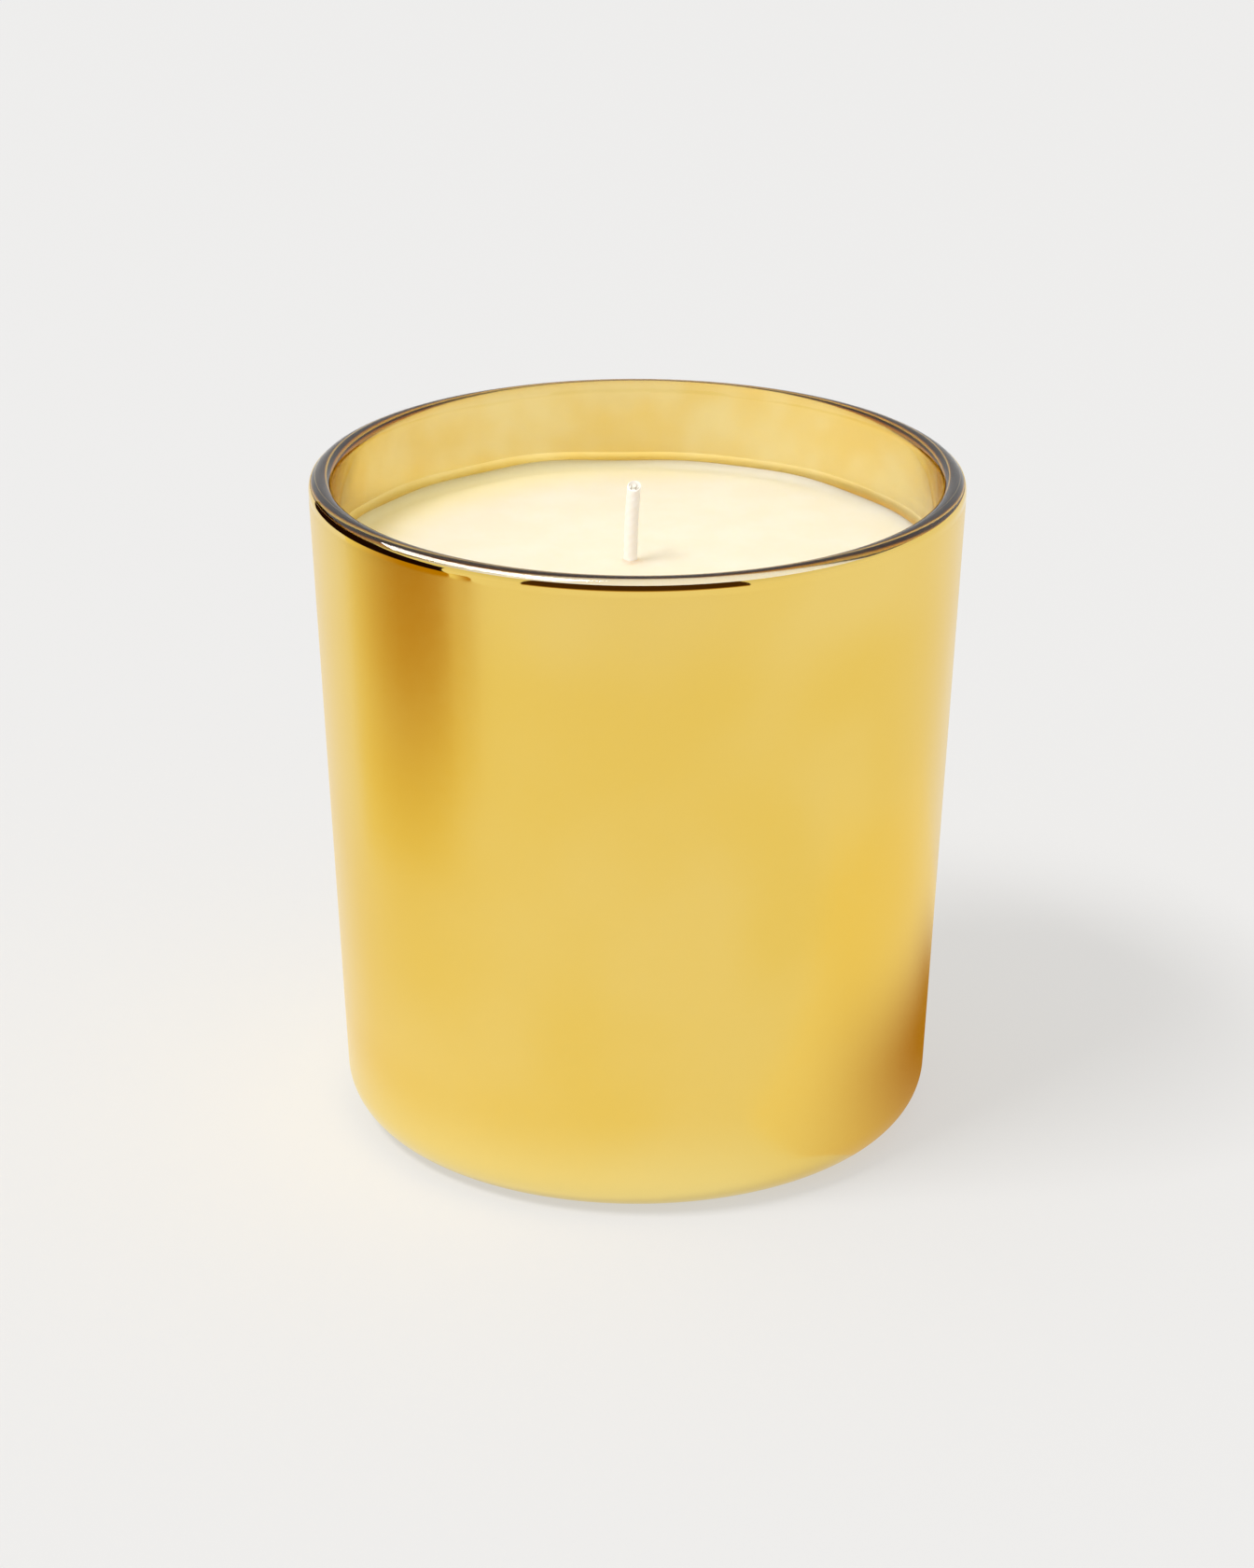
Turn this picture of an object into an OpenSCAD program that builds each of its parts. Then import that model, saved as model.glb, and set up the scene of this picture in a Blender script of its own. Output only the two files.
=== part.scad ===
// Poured candle in a metallised glass tumbler.
// Z is the tumbler's axis, and Z = 0 is the ring that it stands on. Sizes are in millimetres.

/* [Tumbler] */
// Overall height, from the standing ring to the top of the lip
height = 92; // [86:1:110]
// Outside diameter at the lip
rim_d = 88.4; // [87:0.2:94]
// Outside diameter just above the base radius
foot_d = 81; // [78:0.2:84]
// Outside radius between the base and the wall
base_r = 6.6; // [5:0.2:7]
// Thickness of the rounded lip
lip_t = 3.2; // [2.8:0.1:3.6]
// Thickness of the wall at its foot
foot_wall_t = 3.8; // [3.2:0.1:4.6]
// Thickness of the floor, measured from the standing ring
floor_t = 9; // [7:0.5:12]
// Inside radius between the floor and the wall
cavity_r = 9; // [6:0.5:12]
// Diameter of the hollow under the base, where it meets the standing ring
hollow_d = 61; // [58:1:62]
// Depth of the hollow under the base
hollow_h = 1.4; // [1:0.1:2]

/* [Gold coat] */
// Thickness of the metallised coat and its lacquer
coat_t = 0.06; // [0.05:0.01:0.1]
// Angle above the lip's widest point at which the coat stops, in degrees
coat_stop = 30; // [10:1:40]

/* [Wax] */
// Distance from the top of the lip down to the flat of the wax
headspace = 12.4; // [12:0.2:18]
// Height that the wax climbs the glass
meniscus_h = 0.5; // [0.3:0.1:1]
// Width of the climb at the glass
meniscus_w = 1.8; // [1:0.1:3]
// Height that the wax climbs the wick
collar_h = 0.4; // [0.2:0.1:0.8]
// Width of the climb at the wick
collar_w = 0.9; // [0.5:0.1:1.5]

/* [Wick] */
// Place of the wick's foot, along X
wick_x = -0.9; // [-3:0.1:3]
// Place of the wick's foot, along Y
wick_y = -1.2; // [-3:0.1:3]
// Diameter over the priming wax
wick_d = 1.9; // [1.8:0.1:2.1]
// Diameter of the cotton braid
braid_d = 1.6; // [1.5:0.1:1.7]
// Diameter of the paper core
core_d = 0.6; // [0.5:0.1:0.8]
// Length of wick that stands out of the wax
wick_out = 10.8; // [6:0.1:11.4]
// Radius that the free wick bends to
bend_r = 115; // [100:5:400]
// Angle that the wick's end is snipped at, in degrees
snip_angle = 26; // [0:1:40]

/* [Sustainer] */
// Diameter of the tab
tab_d = 20; // [17:0.5:24]
// Thickness of the tab's sheet
tab_t = 0.3; // [0.25:0.05:0.4]
// Height of the crimped neck, from the underside of the tab
neck_h = 6; // [4:0.5:9]
// Diameter of the foam sticker under the tab
sticker_d = 18; // [14:0.5:20]
// Thickness of the foam sticker
sticker_t = 1; // [0.8:0.1:1.5]

/* [Base label] */
// Diameter of the blank paper label
label_d = 50; // [40:1:52]
// Thickness of the label
label_t = 0.12; // [0.1:0.01:0.2]

/* [Hidden] */
$fn = 128;

// Steps in each rounded stretch of an outline
arc_steps = 12;

// Centre and radius of the rounded lip
lip_r = lip_t / 2;
lip_c = [rim_d / 2 - lip_r, height - lip_r];
// Centre of the outside base radius
base_c = [foot_d / 2 - base_r, base_r];
// Centre of the inside radius at the floor
cavity_c = [foot_d / 2 - foot_wall_t - cavity_r, floor_t + cavity_r];

// Lean of the outside wall between the base radius and the lip
outer_lean = lean(base_c, lip_c, base_r - lip_r);
// Lean of the inside wall between the floor's radius and the lip
inner_lean = lean(cavity_c, lip_c, cavity_r + lip_r);

// The hollow's edge is two equal arcs, each turning through edge_turn
edge_turn = 60;
edge_r = hollow_h / (2 * (1 - cos(edge_turn)));
edge_top = [hollow_d / 2 - 2 * edge_r * sin(edge_turn), hollow_h - edge_r];
edge_foot = [hollow_d / 2, edge_r];

// The coat stays this far above the surface that the tumbler stands on
coat_clear = 0.05;
coat_start = -asin((base_r - coat_clear) / (base_r + coat_t));
// The coat in the hollow ends this far round the edge's lower arc
coat_hollow_turn = 25;

wax_z = height - headspace;
tab_z = floor_t + sticker_t;
bend_z = wax_z + collar_h;
bend_turn = (wick_out - collar_h) / bend_r * 180 / PI;
// Extra turn of the wick's layers, which the snip takes off
spare_turn = 1;
// Middle of the snipped end, seen from the wick's foot
tip = [bend_r * (1 - cos(bend_turn)), 0, bend_z + bend_r * sin(bend_turn)];

// Raised stiffening ring in the tab: inner and outer radius, and the width of its slopes
bead_in = 5.5;
bead_out = 7.5;
bead_slope = 0.5;
// Fillet between the tab and its neck
neck_fillet = 0.8;
neck_r = braid_d / 2 + tab_t;
tab_foot = [tab_d / 2, 0];

// Angle from the vertical of the line that touches two circles, one at each end
function lean(low, high, across) =
    let (way = high - low) atan2(way.x, way.y) - asin(across / norm(way));

// Points along an arc of an outline
function arc(centre, r, from, to) =
    [for (i = [0:arc_steps]) let (a = from + (to - from) * i / arc_steps)
        centre + r * [cos(a), sin(a)]];

// The list in the opposite order
function reversed(list) = [for (i = [len(list) - 1:-1:0]) list[i]];

// Radius of the straight inside wall at height z, where it touches the floor's radius
function bore_at(z) =
    cavity_c.x + cavity_r * cos(inner_lean)
    + (z - cavity_c.y + cavity_r * sin(inner_lean)) * tan(inner_lean);

// Underside of the hollow, t outside the glass, out to a turn round the edge's lower arc
function hollow_line(t, turn) = concat(
    [[0, hollow_h - t]],
    arc(edge_top, edge_r - t, 90, 90 - edge_turn),
    arc(edge_foot, edge_r + t, 270 - edge_turn, 270 - edge_turn + turn));

// Outside of the tumbler from one angle round the base radius to another round the lip, t proud
function wall_line(t, from, to) = concat(
    arc(base_c, base_r + t, from, -outer_lean),
    arc(lip_c, lip_r + t, -outer_lean, to));

// Inside of the tumbler from the axis out to the foot of the inside wall
function cavity_line() = concat([[0, floor_t]], arc(cavity_c, cavity_r, -90, -inner_lean));

// Curve that the wax makes where it climbs a wall at the given radius, going away from the wall
function climb(wall, h, w) =
    [for (i = [0:arc_steps]) let (s = i / arc_steps) [wall + w * s, wax_z + h * pow(1 - s, 2)]];

// Moves what belongs to the wick's axis there
module on_wick_axis(z = 0) {
    translate([wick_x, wick_y, z]) children();
}

// Ring-shaped section of the wick's round layers
module layer_section(d_out, d_in) {
    difference() {
        circle(d = d_out);
        if (d_in > 0) circle(d = d_in);
    }
}

// One round layer of the wick: straight from z up through the wax, bent towards +X, and snipped
module wick_layer(d_out, d_in, z) {
    on_wick_axis() difference() {
        union() {
            translate([0, 0, z]) linear_extrude(bend_z - z) layer_section(d_out, d_in);
            translate([bend_r, 0, bend_z]) mirror([1, 0, 0]) rotate([90, 0, 0])
                rotate_extrude(angle = bend_turn + spare_turn, $fn = 256)
                    translate([bend_r, 0]) layer_section(d_out, d_in);
        }
        translate(tip) rotate([snip_angle, 0, 0]) translate([0, 0, wick_out / 2])
            cube([3 * wick_d, 3 * wick_d, wick_out], center = true);
    }
}

// Thick-bottomed tumbler with a rounded lip, leaning walls and a hollow under its base
module glass_tumbler() {
    color([0.86, 0.84, 0.76, 0.6]) rotate_extrude() polygon(concat(
        hollow_line(0, edge_turn),
        wall_line(0, -90, 180 - inner_lean),
        reversed(cavity_line())));
}

// Metallised coat: one shell round the wall and base radius, and one in the hollow
module gold_coat() {
    color([0.86, 0.68, 0.29]) {
        rotate_extrude() polygon(concat(
            wall_line(0, coat_start, coat_stop),
            reversed(wall_line(coat_t, coat_start, coat_stop))));
        rotate_extrude() polygon(concat(
            hollow_line(0, coat_hollow_turn),
            reversed(hollow_line(coat_t, coat_hollow_turn))));
    }
}

// Poured wax, which fills the tumbler round the sustainer and the wick
module wax_fill() {
    color([0.98, 0.95, 0.82]) difference() {
        union() {
            rotate_extrude() polygon(concat(
                cavity_line(),
                climb(bore_at(wax_z + meniscus_h), meniscus_h, -meniscus_w),
                [[0, wax_z]]));
            on_wick_axis() rotate_extrude() polygon(concat(
                [[wick_d / 2, tab_z]],
                climb(wick_d / 2, collar_h, collar_w),
                [[wick_d / 2 + collar_w, tab_z]]));
        }
        on_wick_axis(floor_t - 1) cylinder(d = sticker_d, h = sticker_t + 1);
        on_wick_axis(tab_z) rotate_extrude() polygon(concat([[0, 0], tab_foot], tab_top(), [[0, neck_h]]));
        on_wick_axis(tab_z) cylinder(d = wick_d, h = height);
    }
}

// Upper outline of the sustainer from its rim to the top of its neck
function tab_top() = concat(
    [[tab_foot.x, tab_t], [bead_out, tab_t], [bead_out - bead_slope, 2 * tab_t],
     [bead_in + bead_slope, 2 * tab_t], [bead_in, tab_t]],
    reversed(arc([neck_r + neck_fillet, tab_t + neck_fillet], neck_fillet, 180, 270)),
    [[neck_r, neck_h]]);

// Stamped tab with a stiffening ring and a neck crimped round the braid
module wick_sustainer() {
    color([0.78, 0.79, 0.8]) on_wick_axis(tab_z) rotate_extrude() polygon(concat(
        [[braid_d / 2, 0], [bead_in, 0], [bead_in + bead_slope, tab_t],
         [bead_out - bead_slope, tab_t], [bead_out, 0], tab_foot],
        tab_top(),
        [[braid_d / 2, neck_h]]));
}

// Double-sided foam disc that holds the sustainer to the floor
module sustainer_sticker() {
    color([0.93, 0.93, 0.92]) on_wick_axis(floor_t) cylinder(d = sticker_d, h = sticker_t);
}

// Hard wax that stiffens the wick above its sustainer
module wick_priming() {
    color([0.97, 0.94, 0.86]) wick_layer(wick_d, braid_d, tab_z + neck_h);
}

// Tube of braided cotton
module wick_braid() {
    color([0.96, 0.94, 0.9]) wick_layer(braid_d, core_d, tab_z);
}

// Twisted paper core of the wick
module wick_core() {
    color([0.9, 0.87, 0.8]) wick_layer(core_d, 0, tab_z);
}

// Blank paper disc stuck in the hollow of the base
module base_label() {
    color([0.95, 0.95, 0.93]) translate([0, 0, hollow_h - coat_t - label_t])
        cylinder(d = label_d, h = label_t);
}

glass_tumbler();
gold_coat();
wax_fill();
wick_priming();
wick_braid();
wick_core();
wick_sustainer();
sustainer_sticker();
base_label();
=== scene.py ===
"""Looks of a poured candle in a gold glass tumbler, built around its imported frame.

Sizes are in millimetres, as a maker writes them, and a mesh is brought to metres as it is made.
Z is the tumbler's axis, and Z = 0 is the ring that the tumbler stands on.
"""

import logging
import math
from collections.abc import Sequence
from dataclasses import dataclass
from enum import Enum
from typing import Any

import bpy
import numpy as np
from mathutils import Matrix, Vector


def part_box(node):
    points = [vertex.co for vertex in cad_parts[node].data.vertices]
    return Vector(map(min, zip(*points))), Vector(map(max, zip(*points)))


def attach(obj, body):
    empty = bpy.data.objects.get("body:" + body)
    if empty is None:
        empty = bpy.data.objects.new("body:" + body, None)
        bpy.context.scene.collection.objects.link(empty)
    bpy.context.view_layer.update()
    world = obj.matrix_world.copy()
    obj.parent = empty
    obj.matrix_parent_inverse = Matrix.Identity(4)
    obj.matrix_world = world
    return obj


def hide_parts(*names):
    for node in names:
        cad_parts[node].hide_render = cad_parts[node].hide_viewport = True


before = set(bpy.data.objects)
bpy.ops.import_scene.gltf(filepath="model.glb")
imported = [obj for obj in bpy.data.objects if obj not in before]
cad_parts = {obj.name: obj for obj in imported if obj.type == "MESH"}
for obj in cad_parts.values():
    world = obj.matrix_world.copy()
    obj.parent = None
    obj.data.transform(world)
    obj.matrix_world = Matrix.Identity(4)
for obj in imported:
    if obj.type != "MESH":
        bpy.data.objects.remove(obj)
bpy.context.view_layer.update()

LOG = logging.getLogger("candle")
MM = 0.001
ROOT = "root"
Array = np.ndarray
Colour = tuple[float, float, float]
Point = tuple[float, float, float]
Span = tuple[float, float]
BLACK: Colour = (0.0, 0.0, 0.0)

# Columns round a large turned surface
AROUND = 288
# Distance from the top of the lip down to the flat of the wax
HEADSPACE = 12.4


# ---------------------------------------------------------------- shapes


class Ends(Enum):
    """How the first and the last row of a surface are closed."""

    LOOP = "the last row joins the first"
    POLES = "each end row is one point"


def arc(centre: Array, radius: float, start: float, stop: float, steps: int) -> Array:
    """Points along an arc of an outline.

    Formula: the centre plus the radius times (cosine, sine) of evenly spaced angles.

    Args:
        centre: (radius, height) of the arc's centre.
        radius: Radius of the arc.
        start: First angle, in degrees.
        stop: Last angle, in degrees.
        steps: Number of steps between the two.

    Returns:
        steps + 1 points.
    """
    turn = np.radians(np.linspace(start, stop, steps + 1))
    return centre + radius * np.stack([np.cos(turn), np.sin(turn)], axis=1)


def between(start: Array, stop: Array, steps: int) -> Array:
    """Points of a straight stretch without its two ends, evenly spaced.

    Args:
        start: Where the stretch starts.
        stop: Where it ends.
        steps: Number of steps from start to stop.

    Returns:
        steps - 1 points.
    """
    share = np.linspace(0, 1, steps + 1)[1:-1, None]
    return start + (stop - start) * share


def ease(share: Array) -> Array:
    """Smooth step of a share: three times its square less twice its cube, held within 0 and 1."""
    held = np.clip(share, 0, 1)
    return held * held * (3 - 2 * held)


def column_angles(columns: int) -> Array:
    """Angles of the columns round a surface, a full turn shared evenly between them, in radians."""
    return np.arange(columns) * 2 * math.pi / columns


def turned(radius: Array, height: Array, centre: Array, columns: int = AROUND) -> Array:
    """Points of a surface turned about a vertical line, whose radius and height may vary.

    Formula: the row's centre plus the radius times (cosine, sine) of the column's angle, at the height.

    Args:
        radius: Radius by row and column, or by row alone.
        height: Height by row and column, or by row alone.
        centre: (x, y) of each row's centre, or one for all rows.
        columns: Number of columns.

    Returns:
        rows x columns x 3 points.
    """
    angle = column_angles(columns)
    x = centre[..., 0:1] + radius * np.cos(angle)
    y = centre[..., 1:2] + radius * np.sin(angle)
    return np.stack([x, y, np.broadcast_to(height, x.shape)], axis=2)


@dataclass(frozen=True)
class Surface:
    """A closed surface as a grid of points in millimetres, closed round its columns.

    Attributes:
        points: rows x columns x 3 points. Where the rows go up, the columns go counterclockwise seen
            from above, so that faces point outwards.
        ends: How the first and the last row are closed.
        finishes: Index of the finish of each row of faces, or None for the first finish throughout.
    """

    points: Array
    ends: Ends
    finishes: Array | None = None

    def vertices(self) -> Array:
        """The surface's vertices, with each pole as one vertex.

        Returns:
            n x 3 points in metres.
        """
        flat = self.points.reshape(-1, 3)
        if self.ends is Ends.POLES:
            columns = self.points.shape[1]
            first = flat[:columns].mean(axis=0)
            last = flat[-columns:].mean(axis=0)
            flat = np.vstack([first, flat[columns:-columns], last])
        return flat * MM

    def faces(self) -> tuple[Array, Array]:
        """Corners of the faces, whose quads run from each row to the next.

        Formula: a vertex's number is its row times the number of columns, plus its column, where each
        pole counts as one vertex.

        Returns:
            The quads' vertex numbers, n x 4, and the triangles' at the poles, m x 3.
        """
        rows, columns = self.points.shape[:2]
        column = np.arange(columns)
        beside = np.roll(column, -1)
        if self.ends is Ends.LOOP:
            low = np.arange(rows)[:, None] * columns
            high = np.roll(low, -1, axis=0)
            triangles = np.empty((0, 3), int)
        else:
            ring = 1 + np.arange(rows - 2)[:, None] * columns
            low, high = ring[:-1], ring[1:]
            pole = 1 + (rows - 2) * columns
            foot = np.stack([np.zeros(columns, int), 1 + beside, 1 + column], axis=1)
            crown = np.stack([ring[-1] + column, ring[-1] + beside, np.full(columns, pole)], axis=1)
            triangles = np.vstack([foot, crown])
        quads = np.stack([low + column, low + beside, high + beside, high + column], axis=2)
        return quads.reshape(-1, 4), triangles

    def quad_finishes(self) -> Array:
        """Finish of each quad, row by row.

        Returns:
            The finishes' indexes.
        """
        rows, columns = self.points.shape[:2]
        quad_rows = rows if self.ends is Ends.LOOP else rows - 3
        if self.finishes is None:
            return np.zeros(quad_rows * columns, int)
        return np.repeat(self.finishes, columns)


def make_piece(
    name: str,
    surfaces: Sequence[Surface],
    materials: Sequence[bpy.types.Material],
    sharp_angle: float = 40.0,
) -> bpy.types.Object:
    """Makes one piece of one or more closed surfaces.

    Args:
        name: Name of the piece.
        surfaces: Its surfaces.
        materials: Its finishes, in the order that the surfaces number them.
        sharp_angle: Angle between faces above which an edge is shaded sharp, in degrees.

    Returns:
        The piece, with its object at the origin.
    """
    points, faces, finishes, count = [], [], [], 0
    for surface in surfaces:
        vertices = surface.vertices()
        quads, triangles = surface.faces()
        points.append(vertices)
        faces += (quads + count).tolist() + (triangles + count).tolist()
        finishes += [surface.quad_finishes(), np.zeros(len(triangles), int)]
        count += len(vertices)
    mesh = bpy.data.meshes.new(name)
    mesh.from_pydata(np.vstack(points), [], faces)
    mesh.polygons.foreach_set("material_index", np.concatenate(finishes).astype(np.int32))
    mesh.polygons.foreach_set("use_smooth", np.ones(len(faces), bool))
    mesh.set_sharp_from_angle(angle=math.radians(sharp_angle))
    for material in materials:
        mesh.materials.append(material)
    piece = bpy.data.objects.new(name, mesh)
    bpy.context.scene.collection.objects.link(piece)
    return piece


def fit_piece(piece: bpy.types.Object, slot: str, *nodes: str) -> bpy.types.Object:
    """Puts a piece in the frame in the place of the nodes that it stands for.

    Args:
        piece: The piece.
        slot: The record's material slot. It is not used.
        nodes: The nodes that it stands for.

    Returns:
        The piece.
    """
    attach(piece, ROOT)
    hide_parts(*nodes)
    LOG.info("%s: %d faces, stands for %s", piece.name, len(piece.data.polygons), ", ".join(nodes))
    return piece


# ---------------------------------------------------------------- shaders


@dataclass(frozen=True)
class Value:
    """A number that varies over a surface, on which Python's operators add Math nodes.

    Attributes:
        tree: The nodes that it belongs to.
        socket: The socket that gives it.
    """

    tree: "NodeTree"
    socket: bpy.types.NodeSocket

    def _math(self, operation: str, *operands: "Value | float") -> "Value":
        """Adds a Math node that works on the operands in order."""
        node = self.tree.node("ShaderNodeMath", {"operation": operation}, dict(enumerate(operands)))
        return Value(self.tree, node.outputs[0])

    def __add__(self, other: "Value | float") -> "Value":
        """This value plus the other."""
        return self._math("ADD", self, other)

    __radd__ = __add__

    def __sub__(self, other: "Value | float") -> "Value":
        """This value less the other."""
        return self._math("SUBTRACT", self, other)

    def __rsub__(self, other: float) -> "Value":
        """The other less this value."""
        return self._math("SUBTRACT", other, self)

    def __mul__(self, other: "Value | float") -> "Value":
        """This value times the other."""
        return self._math("MULTIPLY", self, other)

    __rmul__ = __mul__

    def stepped(self, low: float, high: float) -> "Value":
        """A smooth step of this value.

        Args:
            low: Value at which the step is 0.
            high: Value at which it is 1. It may be below low.

        Returns:
            The step, from 0 to 1.
        """
        settings = {"interpolation_type": "SMOOTHSTEP"}
        inputs = {"Value": self, "From Min": low, "From Max": high}
        return Value(self.tree, self.tree.node("ShaderNodeMapRange", settings, inputs).outputs[0])


class NodeTree:
    """Nodes under construction."""

    def __init__(self, tree: bpy.types.NodeTree) -> None:
        """Empties a tree of nodes.

        Args:
            tree: The tree.
        """
        self.nodes = tree.nodes
        self.links = tree.links
        self.nodes.clear()

    def node(
        self,
        kind: str,
        settings: dict[str, Any] | None = None,
        inputs: dict[str | int, Any] | None = None,
    ) -> bpy.types.Node:
        """Adds a node.

        Args:
            kind: The node's type.
            settings: Its settings, which are set first.
            inputs: Values or links of its sockets, by name or number.

        Returns:
            The node.
        """
        made = self.nodes.new(kind)
        for name, value in (settings or {}).items():
            setattr(made, name, value)
        for name, value in (inputs or {}).items():
            self._feed(made.inputs[name], value)
        return made

    def _feed(self, socket: bpy.types.NodeSocket, value: Any) -> None:
        """Links a socket, or sets it to a constant.

        Args:
            socket: The socket.
            value: What it takes: a value or a socket to link, or a constant.
        """
        if isinstance(value, Value):
            self.links.new(value.socket, socket)
        elif isinstance(value, bpy.types.NodeSocket):
            self.links.new(value, socket)
        elif socket.type == "RGBA":
            socket.default_value = (*value, 1.0)
        else:
            socket.default_value = value

    def mix(self, share: Value | float, first: Any, second: Any) -> bpy.types.NodeSocket:
        """A colour from first, where the share is 0, to second, where it is 1."""
        settings = {"data_type": "RGBA"}
        return self.node("ShaderNodeMix", settings, {0: share, 6: first, 7: second}).outputs[2]


class Shader(NodeTree):
    """A material under construction, whose patterns are measured in millimetres of its piece."""

    def __init__(self, name: str) -> None:
        """Starts an empty material.

        Args:
            name: Its name.
        """
        self.material = bpy.data.materials.new(name)
        self.material.use_nodes = True
        super().__init__(self.material.node_tree)

    def place(self, stretch: Point = (1.0, 1.0, 1.0)) -> bpy.types.NodeSocket:
        """The place on the piece, in millimetres.

        Args:
            stretch: Factor along each axis.

        Returns:
            The place as a vector.
        """
        found = self.node("ShaderNodeTexCoord").outputs["Object"]
        scale = tuple(share / MM for share in stretch)
        return self.node("ShaderNodeMapping", None, {"Vector": found, "Scale": scale}).outputs[0]

    def along(self, axis: str) -> Value:
        """The place on the piece along X, Y or Z, in millimetres."""
        return Value(self, self.node("ShaderNodeSeparateXYZ", None, {0: self.place()}).outputs[axis])

    def away(self, point: Point) -> Value:
        """The level distance from the vertical line through a point, in millimetres.

        Args:
            point: The point.

        Returns:
            The distance.
        """
        settings = {"operation": "DISTANCE"}
        inputs = {0: self.place((1.0, 1.0, 0.0)), 1: point}
        return Value(self, self.node("ShaderNodeVectorMath", settings, inputs).outputs["Value"])

    def noise(self, size: float, detail: float = 2.0, stretch: Point = (1.0, 1.0, 1.0)) -> Value:
        """Noise from 0 to 1, in lumps about size millimetres across with detail finer layers in them."""
        inputs = {"Vector": self.place(stretch), "Scale": 1 / size, "Detail": detail}
        return Value(self, self.node("ShaderNodeTexNoise", None, inputs).outputs["Fac"])

    def specks(self, spacing: float, size: float) -> Value:
        """Sparse round specks: 1 within a speck and 0 between them.

        Args:
            spacing: Usual distance between specks, in millimetres.
            size: Diameter of a speck, in millimetres.

        Returns:
            The mask.
        """
        inputs = {"Vector": self.place(), "Scale": 1 / spacing, "Randomness": 1.0}
        near = Value(self, self.node("ShaderNodeTexVoronoi", None, inputs).outputs["Distance"])
        edge = size / 2 / spacing
        return 1 - near.stepped(0.6 * edge, edge)

    def bump(self, height: Value, depth: float) -> bpy.types.NodeSocket:
        """A normal tilted by a height from 0 to 1 that stands for a depth in millimetres."""
        inputs = {"Height": height, "Distance": depth * MM, "Strength": 1.0}
        return self.node("ShaderNodeBump", None, inputs).outputs["Normal"]

    def finished(self, inputs: dict[str, Any]) -> bpy.types.Material:
        """Ends the material in one Principled shader.

        Args:
            inputs: Values or links of the shader's sockets.

        Returns:
            The material.
        """
        surface = self.node("ShaderNodeBsdfPrincipled", None, inputs).outputs[0]
        self.node("ShaderNodeOutputMaterial", None, {"Surface": surface})
        return self.material


# ---------------------------------------------------------------- finishes


@dataclass(frozen=True)
class ClearGlass:
    """Pressed clear glass with the slow unevenness of its mould.

    Attributes:
        tint: Colour that a surface gives to the light that passes it.
        ior: Refractive index.
        roll: Size of the unevenness.
        roll_depth: Depth of the unevenness.
    """

    tint: Colour = (0.985, 0.98, 0.96)
    ior: float = 1.5
    roll: float = 7.0
    roll_depth: float = 0.02

    def material(self) -> bpy.types.Material:
        """Makes the material.

        Returns:
            The material.
        """
        shader = Shader("clear_glass")
        return shader.finished({
            "Base Color": self.tint,
            "Roughness": 0.0,
            "IOR": self.ior,
            "Transmission Weight": 1.0,
            "Normal": shader.bump(shader.noise(self.roll), self.roll_depth),
        })


@dataclass(frozen=True)
class SatinGold:
    """Outside of the metallised coat: satin gold under lacquer, a little uneven, with stray specks, painted
    sheen and painted reflection.

    Attributes:
        pale: Colour of the paler clouds and of the painted sheen near the lip.
        deep: Colour of the deeper clouds.
        foot: Colour of a painted reflection of the bright floor, low down on the front and the left.
        speck: Colour that the specks tend to.
        cloud: Size of a cloud.
        mottle: Size of the mottling.
        grain: Size of the satin's grain.
        grain_depth: Depth of the grain.
        roughness: Roughness of the satin wall.
        bright_roughness: Roughness of the bright lip.
        speck_spacing: Usual distance between specks.
        speck_size: Diameter of a speck.
        painted_sheen_rise: Heights between which the painted sheen turns the gold paler towards the lip.
        painted_floor_reflection_rise: Heights between which the painted floor reflection ends.
        painted_floor_reflection_side: Places along X between which it ends.
        bright_rise: Heights between which the satin turns bright.
    """

    pale: Colour = (0.955, 0.700, 0.195)
    deep: Colour = (0.935, 0.650, 0.125)
    foot: Colour = (0.975, 0.790, 0.290)
    speck: Colour = (0.45, 0.24, 0.05)
    cloud: float = 26.0
    mottle: float = 1.6
    grain: float = 0.3
    grain_depth: float = 0.0004
    roughness: float = 0.25
    bright_roughness: float = 0.04
    speck_spacing: float = 17.0
    speck_size: float = 0.42
    painted_sheen_rise: Span = (74.0, 90.0)
    painted_floor_reflection_rise: Span = (0.0, 16.0)
    painted_floor_reflection_side: Span = (10.0, 32.0)
    bright_rise: Span = (89.5, 90.2)

    def material(self) -> bpy.types.Material:
        """Makes the material.

        Returns:
            The material.
        """
        shader = Shader("satin_gold")
        cloud = shader.noise(self.cloud, 1.0).stepped(0.35, 0.65)
        mottle = shader.noise(self.mottle, 3.0)
        grain = shader.noise(self.grain, 2.0)
        specks = shader.specks(self.speck_spacing, self.speck_size)
        # Painted sheen: the gold turns paler towards the lip.
        upper = shader.along("Z").stepped(*self.painted_sheen_rise)
        gold = shader.mix(0.55 * cloud + 0.2 * mottle + 0.5 * upper, self.deep, self.pale)
        # Painted reflection of the bright floor: paler gold low down on the front and the left.
        low = 1 - shader.along("Z").stepped(*self.painted_floor_reflection_rise)
        left = 1 - shader.along("X").stepped(*self.painted_floor_reflection_side)
        gold = shader.mix(0.9 * low * left, gold, self.foot)
        satin = 1 - shader.along("Z").stepped(*self.bright_rise)
        rough = self.roughness - self.bright_roughness + 0.05 * (mottle - 0.5) + 0.1 * specks
        return shader.finished({
            "Base Color": shader.mix(0.35 * specks, gold, self.speck),
            "Metallic": 1.0,
            "Roughness": self.bright_roughness + satin * rough,
            "Normal": shader.bump(satin * (0.8 * grain + 0.2 * mottle), self.grain_depth),
        })


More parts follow.
